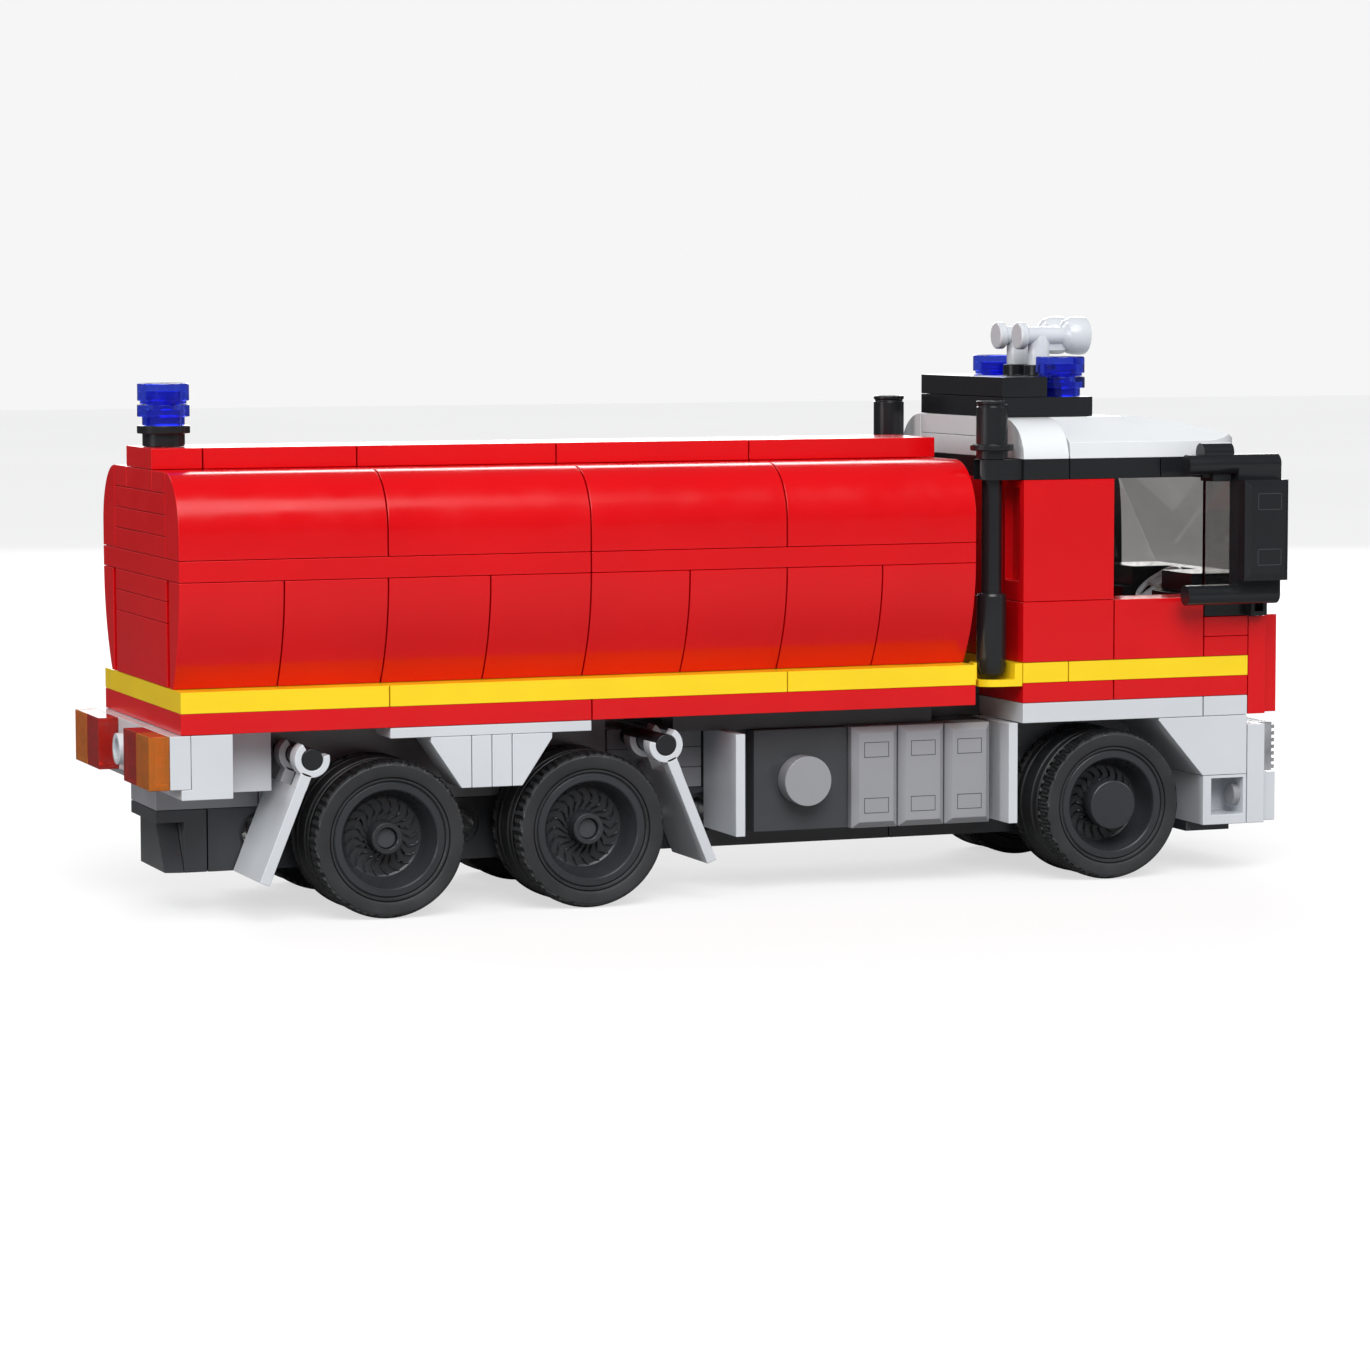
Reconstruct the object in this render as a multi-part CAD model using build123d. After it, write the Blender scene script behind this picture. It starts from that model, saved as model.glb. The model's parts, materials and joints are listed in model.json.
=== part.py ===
from build123d import *
import math
import os

# A brick-built toy fire tanker on three axles. Its mouldings sit on one grid: studs along and across,
# plates up. Lengths are in millimetres. Below, x is measured from the tank's rear face, forwards; y from
# the middle, to the left; z from the underside of the red deck, upwards. export_all() moves the whole
# truck so that its origin is on the ground under the middle of its length.

# ---- driving dimensions ----
STUD = 8.0              # grid pitch along and across
PLATE = 3.2             # height of one plate; three make a brick
HALF = 1.6              # thickness of a bracket's thin leg
SEAM = 0.1              # each moulding is this much smaller than its cell at each side
LEVEL = 0.03            # and this much at its top and underside
AXLES = {"rear": 4, "middle": 8, "front": 19}
AXLE_DROP = 16.8        # axles below the deck's underside
TYRE_R = 12.0
TYRE_W = 14.0
TYRE_FACE = 23.9        # a tyre's outer face from the middle
BEAD_R = 8.7            # where rim and tyre meet
BEAMS = ((1, 15), (15, 21), (21, 22))    # studs from the tank's rear face
BORE_R = 2.4            # pin holes in the beams
SINK_R, SINK = 3.1, 0.9 # their countersinks
AXLE_R = 2.34           # circle round the cross-shaped axle
STUB_R = 1.5            # axle ends inside the hubs
BAR_R = 1.6             # every plain bar
FLAP_BARS = {"rear": 20.0, "front": 76.0}
FLAP_BAR_DROP = 4.25
FLAP_LEAN = 22.2        # degrees from straight down, away from the wheels
FLAP_LENGTH = 19.8
FLAP_THICK = 1.6
CANNON_X, CANNON_Y, CANNON_Z = 148.0, 4.0, 57.6
WINDSCREEN_LOW = (176.4, 182.3)     # where the cheeks end and the pane stands, at its foot
WINDSCREEN_HIGH = (173.5, 174.9)    # and at its top
WINDSCREEN_WALL = 1.0
MIRROR_X = (170.8, 178.7)
MIRROR_Y = -28.0        # the mirrors' bars
MIRROR_BARS = (16.6, 37.3)          # their heights
EXHAUST_X, EXHAUST_Y = 132.2, -20.3
FRONT_X = (176.05, 179.15)          # the inner of the two layers across the cab's front
FRONT_SIDE = 21.6                   # half the outer layer's width
NOSE = 182.4            # foremost face
TAIL = -4.8             # rearmost face
GROUND = -(AXLE_DROP + TYRE_R)

parts = {}


# ---- helpers ----
def box(x, y, z):
    """A box between the given limits in millimetres."""
    size = [b - a for a, b in (x, y, z)]
    middle = [(a + b) / 2 for a, b in (x, y, z)]
    return Pos(*middle) * Box(*size)


def cell(x, y, z):
    """A moulding filling x and y in studs and z in plates, less its seams."""
    return box(
        (x[0] * STUD + SEAM, x[1] * STUD - SEAM),
        (y[0] * STUD + SEAM, y[1] * STUD - SEAM),
        (z[0] * PLATE + LEVEL, z[1] * PLATE - LEVEL),
    )


def upright(x, y, z, radius):
    """A cylinder standing on (x, y) between two heights."""
    return Pos(x, y, (z[0] + z[1]) / 2) * Cylinder(radius, z[1] - z[0])


def across(x, y, z, radius):
    """A cylinder along y between two places."""
    return Pos(x, (y[0] + y[1]) / 2, z) * Rot(90, 0, 0) * Cylinder(radius, y[1] - y[0])


def lengthwise(x, y, z, radius):
    """A cylinder along x between two places."""
    return Pos((x[0] + x[1]) / 2, y, z) * Rot(0, 90, 0) * Cylinder(radius, x[1] - x[0])


def mirrored(solids):
    return [s.mirror(Plane.XZ) for s in solids]


def both_sides(solids):
    """The right-hand pieces with their left-hand twins."""
    return list(solids) + mirrored(solids)


def along_x(outline, x):
    """Extrudes a face drawn in (y, z) between two places along x."""
    plane = Plane(origin=(x[0], 0, 0), x_dir=(0, 1, 0), z_dir=(1, 0, 0))
    return extrude(plane * outline, amount=x[1] - x[0])


def along_y(outline, y):
    """Extrudes a face drawn in (x, z) between two places along y."""
    plane = Plane(origin=(0, y[1], 0), x_dir=(1, 0, 0), z_dir=(0, -1, 0))
    return extrude(plane * outline, amount=y[1] - y[0])


def turned(points, y_outwards=1):
    """Revolves an outline of (radius, distance along y) about the y axis."""
    outline = make_face(Polyline(*[(r, y * y_outwards) for r, y in points], close=True))
    return revolve(outline, axis=Axis.Y)


def round_plate(x, y, level, flange=4.0, stem=3.2):
    """A one-stud round plate: a narrow stem under a flange."""
    z = level * PLATE
    return upright(x, y, (z + LEVEL, z + 2.2), stem) + upright(x, y, (z + 2.0, z + PLATE - LEVEL), flange)


def round_tile(x, y, level):
    z = level * PLATE
    return upright(x, y, (z + LEVEL, z + 0.6), 3.5) + upright(x, y, (z + 0.5, z + PLATE - LEVEL), 4.0 - SEAM)


STEP_LOW = -20.8                # underside of the cab's steps and bumper


# ---- chassis ----
def chassis_beams():
    """Two rows of bored beams side by side carry the axles; no hole falls on a joint between beams."""
    solids = []
    for first, last in BEAMS:
        beam = cell((first, last), (-1, 0), (-7, -4))
        for hole in range(first + 1, last):
            beam -= across(hole * STUD, (-STUD, 0), -AXLE_DROP, BORE_R)
            beam -= across(hole * STUD, (-STUD, SINK - STUD), -AXLE_DROP, SINK_R)
        solids.append(beam)
    return both_sides(solids)


def rear_block():
    block = cell((0, 1), (-1, 1), (-7, -4))
    return [block - box((-1, 4.4), (-9, 9), (-8 * PLATE, -4 * PLATE - 1.9))]


def rear_bumper():
    """The wedge on the rear block's recessed face; its upper right-hand corner is cut away."""
    face, root, side = 1.5, 4.35, STUD - SEAM
    foot = Polyline((face, side), (face, -7.2), (root, -side), (root, side), close=True)
    head = Polyline((face, side), (face, -1.4), (root, -3.3), (root, side), close=True)
    low, high = -7 * PLATE + LEVEL, -4 * PLATE - 2.1
    return [loft([Pos(0, 0, low) * make_face(foot), Pos(0, 0, high) * make_face(head)], ruled=True)]


def chassis_risers():
    """Bricks and plates between the beams and the deck, with the holes that grip the flap bars."""
    solids = [
        cell((0, 2), (-1, 1), (-4, -3)),
        cell((2, 9), (-1, 1), (-4, -3)),
        cell((2, 9), (-1, 1), (-3, 0)),
        cell((9, 11), (-1, 1), (-4, -3)),
        cell((9, 11), (-1, 1), (-3, -2)),
        cell((9, 11), (-1, 1), (-2, -1)),
        cell((17, 19), (-1, 1), (-4, -1)),
        cell((19, 22), (-1, 1), (-4, -1)),
    ]
    grip = [across(x, (-9, 9), -FLAP_BAR_DROP, BAR_R + 0.02) for x in FLAP_BARS.values()]
    return [s - grip[0] - grip[1] for s in solids]


def chassis_plates():
    """Dark plates under the deck, and the block between the lockers."""
    middle = [
        cell((10, 15.5), (-2, 2), (-1, 0)),
        cell((11, 17), (-1, 1), (-4, -1)),
        cell((15.5, 17), (-1, 1), (-1, 0)),
        cell((16, 17), (-1, 1), (0, 1)),
    ]
    under_step = box((21 * STUD + SEAM, 22 * STUD - SEAM), (-18, -STUD - SEAM), (-7 * PLATE, STEP_LOW - 0.05))
    return middle + both_sides([under_step])


def deck_plates():
    return [cell((0, 8), (-3, 3), (0, 1)), cell((8, 16), (-3, 3), (0, 1))]


def stripe_plates():
    return [cell(x, (-3, 3), (1, 2)) for x in ((0, 4), (4, 12), (12, 16))]


# ---- tank ----
LOWER_TOP, LOWER_LOW = 7, 2         # plates
TUCK = 4.7                          # how far a lower panel curves in at its foot
CORE_Y = 17.5                       # the lower panels' backs
CURVE_RISE = 9.0                    # height of the upper panels' elliptical shoulder


def tank_core():
    """The block behind the curved panels, set in from the rear by one stud."""
    return [
        box((STUD + SEAM, 128 - SEAM), (-CORE_Y, CORE_Y), (2 * PLATE + LEVEL, 7 * PLATE - LEVEL)),
        box((STUD + SEAM, 128 - SEAM), (-16 + SEAM, 16 - SEAM), (8 * PLATE + LEVEL, 12 * PLATE - LEVEL)),
    ]


def tank_rear_plates():
    """The plates and the brick that show in the middle of the tank's rear face."""
    rows = [(2, 5), (5, 6), (6, 7), (8, 9), (9, 10), (10, 11)]
    solids = [cell((0, 1), (-2, 2), row) for row in rows]
    for y in ((-2, -1), (-1, 1), (1, 2)):
        solids.append(cell((0, 1), y, (11, 12)))
    return solids


def tank_band():
    return [cell((0, 8), (-3, 3), (7, 8)), cell((8, 16), (-3, 3), (7, 8))]


def lower_panels():
    """Eight sideways slopes a side, thick at the band and tucked in at the deck."""
    top, low, outer = LOWER_TOP * PLATE - LEVEL, LOWER_LOW * PLATE + LEVEL, 24 - SEAM
    height = top - low
    radius = (height**2 + TUCK**2) / (2 * TUCK)
    edge = Line((-CORE_Y - SEAM, low), (-CORE_Y - SEAM, top))
    lid = Line((-CORE_Y - SEAM, top), (-outer, top))
    bow = RadiusArc((-outer, top), (-outer + TUCK, low), -radius)
    foot = Line((-outer + TUCK, low), (-CORE_Y - SEAM, low))
    outline = make_face([edge, lid, bow, foot])
    width = 2 * STUD
    return [along_x(outline, (n * width + SEAM, (n + 1) * width - SEAM)) for n in range(8)]


def upper_panels():
    """Four long slopes a side: upright below, then an elliptical shoulder to a flat top edge."""
    top, low, outer = 12 * PLATE - LEVEL, 8 * PLATE + LEVEL, 24 - SEAM
    shoulder = top - CURVE_RISE
    inner = -16 - SEAM
    run = outer + inner
    profile = Ellipse(run, CURVE_RISE) & Pos(-run / 2, CURVE_RISE / 2) * Rectangle(run, CURVE_RISE)
    outline = Pos(inner, shoulder) * profile
    skirt = Pos((inner - outer) / 2, (shoulder + low) / 2) * Rectangle(run, shoulder - low)
    outline = outline + skirt
    return [along_x(outline, (n * 4 * STUD + SEAM, (n + 1) * 4 * STUD - SEAM)) for n in range(4)]


def tank_ridge():
    return [cell(x, (-1, 1), (12, 13)) for x in ((0, 1), (1, 4), (4, 8), (8, 12), (12, 16))]


# ---- lamps and tail ----
def tail_frame():
    """The light-grey housings under the deck's rear end and the sideways plates the lamps sit on."""
    housing = cell((0, 1), (-3, -2), (-3, 0)) - box((-1, HALF + 0.02), (-25, -15), (-8.0, 1))
    lamp_plate = box((-HALF, HALF - 0.05), (-24 + SEAM, -8 - SEAM), (-8 + LEVEL, -LEVEL))
    corner = cell((1, 2), (-2, -1), (-3, 0))
    inner = cell((0, 1), (-2, -1), (-3, 0)) - box((-1, HALF + 0.02), (-17, -7), (-8.0, 1))
    middle = cell((0, 2), (-1, 1), (-3, 0)) - box((-1, 0.02), (-9, 9), (-9, 1))
    stud_plate = box((-HALF, -SEAM), (-STUD + SEAM, STUD - SEAM), (-8 + LEVEL, -LEVEL))
    stud_plate = stud_plate + lengthwise((-HALF - BORE_R, -HALF), 0, -4, BORE_R)
    stud_plate = stud_plate - lengthwise((-4, -0.8), 0, -4, BAR_R)
    return both_sides([housing, lamp_plate, corner, inner]) + [middle, stud_plate]


def lamps(inner, outer):
    """One square lamp a side between two distances from the middle, in studs."""
    lamp = box(
        (TAIL, -HALF - 0.05), (-outer * STUD + SEAM, -inner * STUD - SEAM), (-8 + LEVEL, -LEVEL)
    )
    return both_sides([lamp])


def beacon_base():
    return [round_plate(4, 0, 13)]


def beacon_lens():
    return [round_plate(4, 0, 14), round_tile(4, 0, 15)]


# ---- flaps ----
def flap_bars():
    return [across(x, (-TYRE_FACE, TYRE_FACE), -FLAP_BAR_DROP, BAR_R) for x in FLAP_BARS.values()]


def flap(x, lean):
    """A right-hand mudguard flap: a thin slab hanging from two open clips on its bar."""
    ring, grip, mouth = 2.75, BAR_R + 0.06, 1.25
    outer, inner = -TYRE_FACE, -STUD - 0.4
    start = 2.2
    slab = Pos(0, (outer + inner) / 2, -(start + FLAP_LENGTH) / 2) * Box(
        FLAP_THICK, inner - outer, FLAP_LENGTH - start
    )
    solid = slab
    for y in ((outer, outer + 2.9), (-15.1, -12.2)):
        clip = across(0, y, 0, ring)
        clip = clip - Pos(0, sum(y) / 2, 2.5) * Box(2 * mouth, 4, 5)
        solid = solid + clip
    solid = solid - across(0, (outer - 1, inner + 1), 0, grip)
    return [Pos(x, 0, -FLAP_BAR_DROP) * Rot(0, lean, 0) * solid]


# ---- running gear ----
def axle(x):
    """A cross-shaped axle whose round ends enter the hubs."""
    half = STUD + 1.2
    arm = 0.9
    tip = math.sqrt(AXLE_R**2 - arm**2)
    cross = Box(2 * tip, 2 * half, 2 * arm) + Box(2 * arm, 2 * half, 2 * tip)
    stubs = across(0, (-21.4, 21.4), 0, STUB_R)
    return [Pos(x, 0, -AXLE_DROP) * (cross + stubs)]


def rims(x):
    """A dished rim with its hub tube, on both ends of one axle."""
    face, inner = TYRE_FACE - 0.45, TYRE_FACE - TYRE_W + 0.6
    disc, hub = TYRE_FACE - 3.6, TYRE_FACE - 1.7
    points = [
        (STUB_R + 0.04, inner + 0.4), (STUB_R + 0.04, hub), (2.45, hub), (2.45, disc), (5.8, disc),
        (7.35, face), (BEAD_R, face), (BEAD_R, inner), (7.6, inner), (7.6, disc - 2.6), (2.6, disc - 1.3),
        (2.6, inner + 0.4),
    ]
    return both_sides([Pos(x, 0, -AXLE_DROP) * turned(points, -1)])


def tyres(x):
    inner, shoulder = TYRE_FACE - TYRE_W, 1.0
    points = [
        (BEAD_R + 0.03, inner), (BEAD_R + 0.03, TYRE_FACE), (11.35, TYRE_FACE),
        (TYRE_R, TYRE_FACE - shoulder), (TYRE_R, inner + shoulder), (11.35, inner),
    ]
    return both_sides([Pos(x, 0, -AXLE_DROP) * turned(points, -1)])


def hub_caps(x):
    face = TYRE_FACE
    cap = across(x, (-face, -face + 1.6), -AXLE_DROP, 4.0 - SEAM)
    return both_sides([cap])


# ---- sides under the deck ----
def arch_trim():
    """The thin strip under the deck between the rear wheels, and the keystone of sideways pieces below it."""
    y = (-24 + SEAM, -16 - SEAM)
    top, low = -HALF - LEVEL, -HALF - STUD + SEAM
    strip = box((4 * STUD + SEAM, 8 * STUD - SEAM), y, (-HALF, -LEVEL))
    solids = [strip]
    for side in (-1, 1):
        a, b = 6 * STUD + side * SEAM / 2, 6 * STUD + side * (PLATE - SEAM / 2)
        solids.append(box((min(a, b), max(a, b)), y, (low, top)))
        thick, thin = 6 * STUD + side * 3 * PLATE, 6 * STUD + side * (PLATE + HALF)
        root = 6 * STUD + side * (PLATE + SEAM / 2)
        edge = Polyline((root, top), (thick, top), (thick, top - 0.8), (thin, low), (root, low), close=True)
        solids.append(along_y(make_face(edge), y))
    return both_sides(solids)


LOCKER_LOW, LOCKER_TOP = -6 * PLATE, -PLATE
LOCKER_BACK = 14.4


def locker_frames():
    """Thin upright legs at both ends of the locker bank."""
    y = (-22.4, -8.3)
    z = (LOCKER_LOW + LEVEL, LOCKER_TOP - LEVEL)
    rear_leg = box((11 * STUD + 0.05, 11 * STUD + HALF), y, z)
    front_leg = box((17 * STUD - HALF, 17 * STUD - 0.05), y, z)
    return both_sides([rear_leg, front_leg])


def locker_backs():
    """The dark backing between the legs and the square tile at its rear end."""
    z = (LOCKER_LOW + LEVEL, LOCKER_TOP - LEVEL)
    backing = box((11 * STUD + HALF + 0.05, 17 * STUD - HALF - 0.05), (-LOCKER_BACK, -8.3), z)
    x = 92.8
    tile = box((x + SEAM, x + 2 * STUD - SEAM), (-LOCKER_BACK - PLATE, -LOCKER_BACK - LEVEL), z)
    return both_sides([backing, tile])


def locker_doors():
    """Three narrow bevelled doors a side, ahead of the dark tile."""
    doors = []
    for n in range(3):
        x = 108.8 + n * STUD
        slab = box((x + SEAM, x + STUD - SEAM), (-19.7, -LOCKER_BACK - LEVEL), (LOCKER_LOW, LOCKER_TOP))
        face = slab.faces().sort_by(Axis.Y)[0]
        doors.append(chamfer(face.edges(), 1.0))
    return both_sides(doors)


def locker_caps():
    """The round tank cap on each dark tile."""
    cap = across(100.8, (-20.8, -17.65), -6.4 - 4.8, 4.0 - SEAM)
    return both_sides([cap])


# ---- cab ----
def cab_base():
    return [cell((17, 21), (-3, 3), (-1, 0)), cell((21, 22), (-3, 3), (-1, 0))]


def cab_sill():
    return [cell((17, 19), (-3, 3), (0, 1)), cell((19, 22), (-3, 3), (0, 1))]


def cab_stripe():
    """The yellow plates, with a cup at each rear corner for the foot of the exhaust."""
    low, high = 2.75, 2 * PLATE - LEVEL
    cup = box((EXHAUST_X - 3, 17 * STUD - 0.05), (-24 + SEAM, -16 - SEAM), (low, high))
    front_half = box((EXHAUST_X, 17 * STUD), (-24, -16), (low, high))
    cup = cup & (upright(EXHAUST_X, EXHAUST_Y, (low, high), 3.5) + front_half)
    cup = cup - upright(EXHAUST_X, EXHAUST_Y, (low + 0.5, high + 1), 2.45)
    cup = cup - box((EXHAUST_X - 5, EXHAUST_X + 2.45), (-25, EXHAUST_Y), (low + 1.1, high + 1))
    return [cell((17, 18), (-3, 3), (1, 2)), cell((18, 22), (-3, 3), (1, 2))] + both_sides([cup])


def cab_walls():
    """Side bricks, rear wall and the low wall under the windscreen; the side windows stay open."""
    recess = box((17 * STUD - 1, 17 * STUD + 1.4), (-22.2, -17.0), (6 * PLATE, 10.6 * PLATE))
    side = [
        cell((17, 19), (-3, -2), (2, 5)),
        cell((19, 21), (-3, -2), (2, 5)),
        cell((17, 19), (-3, -2), (5, 11)) - recess,
    ]
    back = [cell((17, 18), (-2, 2), (2, 5)), cell((17, 18), (-2, 2), (5, 11))]
    side += [cell((21, 22), (-3, -1), (2, 3)), cell((21, 22), (-3, -1), (3, 4))]
    return both_sides(side) + back


def cab_band():
    """The black line over the windows, open over the cabin, and the clips that hold the exhausts."""
    rail = [cell(x, (-3, -2), (11, 12)) for x in ((17, 18), (18, 20), (20, 22))]
    ends = [cell((17, 18), (-2, 2), (11, 12)), cell((21, 22), (-2, 2), (11, 12))]
    x, y, z = EXHAUST_X, EXHAUST_Y, (11 * PLATE + LEVEL, 12 * PLATE - LEVEL)
    arm = box((x + 0.4, 17 * STUD + SEAM - 0.05), (y - 2.9, y + 2.9), z)
    jaw = upright(x, y, z, 2.9)
    clip = (arm + jaw) - upright(x, y, (11 * PLATE - 1, 12 * PLATE + 1), BAR_R + 0.05)
    clip = clip - box((x - 4, x - 0.9), (y - 1.2, y + 1.2), (11 * PLATE - 1, 12 * PLATE + 1))
    return both_sides(rail + [clip]) + ends


ROOF_LOW, ROOF_TOP = 12 * PLATE, 14 * PLATE
EAVES = 41.0                    # where the side slopes turn down
ROOF_BEND, ROOF_ARC = 156.0, 52.0   # where the roof starts to fall towards the nose, and its arc
ROOF_CORNER = 8.0


def cab_roof():
    """White rear plates and side slopes, and the large front part that falls to the sides and the nose."""
    low, top, side, flat = ROOF_LOW + LEVEL, ROOF_TOP - LEVEL, 24 - SEAM, 16.0
    plates = [cell((17, 18), (-2, 2), (12, 13)), cell((17, 18), (-2, 2), (13, 14))]
    run, rise = side - flat - SEAM, top - low
    shoulder = Ellipse(run, rise) & Pos(-run / 2, rise / 2) * Rectangle(run, rise)
    rear_slope = along_x(Pos(-flat - SEAM, low) * shoulder, (17 * STUD + SEAM, 18 * STUD - SEAM))
    x0, x1 = 18 * STUD + SEAM, 22 * STUD - SEAM
    right = [(-side, low), (-side, EAVES), (-flat, top)]
    section = make_face(Polyline(*right, *[(-y, z) for y, z in reversed(right)], close=True))
    nose = top - ROOF_ARC + math.sqrt(ROOF_ARC**2 - (x1 - ROOF_BEND) ** 2)
    fall = RadiusArc((ROOF_BEND, top), (x1, nose), ROOF_ARC)
    rest = Polyline((x1, nose), (x1, low), (x0, low), (x0, top), (ROOF_BEND, top))
    front = along_x(section, (x0, x1)) & along_y(make_face([fall, *rest.edges()]), (-side, side))
    plan = RectangleRounded(x1 - x0 + 2 * ROOF_CORNER, 2 * side, ROOF_CORNER)
    front = front & Pos((x0 + x1) / 2 - ROOF_CORNER, 0, low - 1) * extrude(plan, amount=10)
    front = front - box((x0 + 1.5, x1 - 6), (-flat, flat), (low - 1, nose - 1))
    return plates + both_sides([rear_slope]) + [front]


def roof_plates():
    """Black plates behind the lights and the two sockets for the water cannons."""
    socket = round_plate(CANNON_X, -CANNON_Y, 15, flange=3.9, stem=3.9)
    socket = socket + upright(CANNON_X, -CANNON_Y, (16 * PLATE - 0.1, 16 * PLATE + 1.7), BORE_R)
    socket = socket - upright(CANNON_X, -CANNON_Y, (15 * PLATE + 0.5, 16 * PLATE + 2), BAR_R + 0.05)
    return [cell((17, 19), (-2, 2), (14, 15)), cell((17, 18), (-2, 2), (15, 16))] + both_sides([socket])


def roof_lights():
    return both_sides([round_plate(148, -12, 15), round_tile(148, -12, 16)])


def cannon(y):
    """A water cannon: rear disc, barrel and flared nozzle on an upright peg that turns in its socket."""
    rear, mouth = CANNON_X - 3.1, CANNON_X + 8.1
    barrel = lengthwise((rear, mouth - 2.6), y, CANNON_Z, 1.45)
    disc = lengthwise((rear - 0.9, rear + 0.6), y, CANNON_Z, 2.2)
    flare = Pos(mouth - 1.5, y, CANNON_Z) * Rot(0, 90, 0) * Cone(2.2, 3.1, 3.0)
    bore = Pos(mouth - 0.9, y, CANNON_Z) * Rot(0, 90, 0) * Cone(1.4, 2.6, 2.0)
    peg = upright(CANNON_X, y, (15 * PLATE + 0.6, CANNON_Z), BAR_R)
    collar = upright(CANNON_X, y, (16 * PLATE + 1.75, CANNON_Z), 1.9)
    return [(barrel + disc + flare + peg + collar) - bore]


# ---- cab fittings ----
def windscreen():
    """A smoked pane leaning back over an upright lip, with side cheeks that meet the door windows."""
    low, waist, high = 5 * PLATE + LEVEL, 6 * PLATE, 11 * PLATE - LEVEL
    rear, side = 21 * STUD + SEAM, 24 - SEAM

    def plan(z, corner, nose, narrow, wall):
        """The outline at one height: cheeks, angled corners and the flat front pane, shrunk by the wall."""
        side_y, front_y = wall - side, wall / 2 - narrow
        points = [(rear - wall, side_y), (corner - wall / 3, side_y), (nose - wall, front_y)]
        back = [(x, -y) for x, y in reversed(points)]
        return Pos(0, 0, z) * make_face(Polyline(*points, *back, close=True))

    def body(wall, over):
        foot = plan(low - over, WINDSCREEN_LOW[0], WINDSCREEN_LOW[1], 20, wall)
        lip = extrude(foot, amount=waist - low + over)
        faces = [plan(waist, *WINDSCREEN_LOW, 20, wall), plan(high, *WINDSCREEN_HIGH, 20.6, wall)]
        solid = lip + loft(faces, ruled=True)
        if over:
            solid = solid + extrude(plan(high, *WINDSCREEN_HIGH, 20.6, wall), amount=over)
        return solid

    return [body(0, 0) - body(WINDSCREEN_WALL, 1)]


def cab_inside():
    """The plate under the windscreen, the dashboard on it with room for the steering wheel, and the seat."""
    rear, bay = 21 * STUD + SEAM, 5.2
    sill = box((rear, 179.3), (-24 + SEAM, 24 - SEAM), (4 * PLATE + LEVEL, 5 * PLATE - LEVEL))
    dash = box((rear + 1.8, 180), (-16 + SEAM, 16 - SEAM), (5 * PLATE + LEVEL, 6 * PLATE))
    room = box((rear - 1, 176.6), (-bay, bay), (0, 7 * PLATE))
    seat = cell((18, 19.4), (-1, 1), (2, 3.8)) + cell((18, 18.5), (-1, 1), (3.7, 8.4))
    return [sill - room, dash - room, seat]


def steering_wheel():
    """A wheel tilted towards the driver on a post, with the plate it stands on."""
    x, top = 172.2, 16.6
    wheel = Torus(4.0, 0.5) + Cylinder(1.2, 1.2) + Box(8.0, 0.9, 0.7) + Box(0.9, 8.0, 0.7)
    post = upright(x, 0, (2 * PLATE + 1, top), 0.9)
    return [cell((21, 22), (-1, 1), (2, 3)) + post + Pos(x, 0, top) * Rot(0, -35, 0) * wheel]


# ---- cab front ----
PANEL_Z = (-PLATE + SEAM, 4 * PLATE - SEAM)     # the red panels
GRILLE_Z = (-12.7, -4.8)                        # the bright grilles and the plate between them
LOWER_Z = (STEP_LOW, -12.9)                     # the grey lower row


def front_layer(edges, z):
    """Pieces of the outer layer between neighbouring places across the truck."""
    return [box((FRONT_X[1] + 0.05, NOSE), (a + SEAM, b - SEAM), z) for a, b in zip(edges, edges[1:])]


def front_panels():
    """Red panels set sideways in two layers across the cab's front."""
    under = box(FRONT_X, (-24 + SEAM, 24 - SEAM), PANEL_Z)
    return [under] + both_sides(front_layer((-FRONT_SIDE, -12, -4), PANEL_Z))


def front_grille():
    """Black ribbed panel between the red ones."""
    return front_layer((-4, 4), PANEL_Z)


def front_bumper():
    """Light-grey lower front in two layers, and its blank plate."""
    under = box(FRONT_X, (-24 + SEAM, 24 - SEAM), (STEP_LOW, GRILLE_Z[1]))
    return [under] + front_layer((-FRONT_SIDE, -8, 8, FRONT_SIDE), LOWER_Z) + front_layer((-4, 4), GRILLE_Z)


def chrome_grilles():
    return both_sides(front_layer((-FRONT_SIDE, -12, -4), GRILLE_Z))


def cab_steps():
    """The inverted slopes ahead of the front wheels and the hollow step blocks under them."""
    y = (-24 + SEAM, -8 - SEAM)
    top, low = -PLATE - LEVEL, -4 * PLATE + LEVEL
    outline = Polyline((160.1, top), (175.9, top), (175.9, low), (168.0, low), (160.1, top - 0.4), close=True)
    slope = along_y(make_face(outline), y)
    step = box((168.1, 175.9), (-24 + SEAM, -STUD - SEAM), (STEP_LOW, low - 2 * LEVEL))
    step = step - box((169.6, 175.3), (-25, -17.8), (-19.2, -13.3))
    return both_sides([slope, step])


def exhausts():
    """Upright exhausts: a foot in the yellow cup, a thin bar and a wide top pipe with a collar."""
    x, y, foot_r, pipe_r = EXHAUST_X, EXHAUST_Y, 2.35, 2.5
    foot = upright(x, y, (5.75, 17.3), foot_r) + Pos(x, y, 5.75) * Sphere(foot_r)
    bar = upright(x, y, (17.0, 39.0), BAR_R)
    pipe = upright(x, y, (12 * PLATE + 0.05, 47.6), pipe_r) + upright(x, y, (39.8, 40.8), 3.45)
    pipe = pipe - upright(x, y, (43.0, 48), pipe_r - 0.55)
    return both_sides([foot + bar + pipe])


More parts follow.
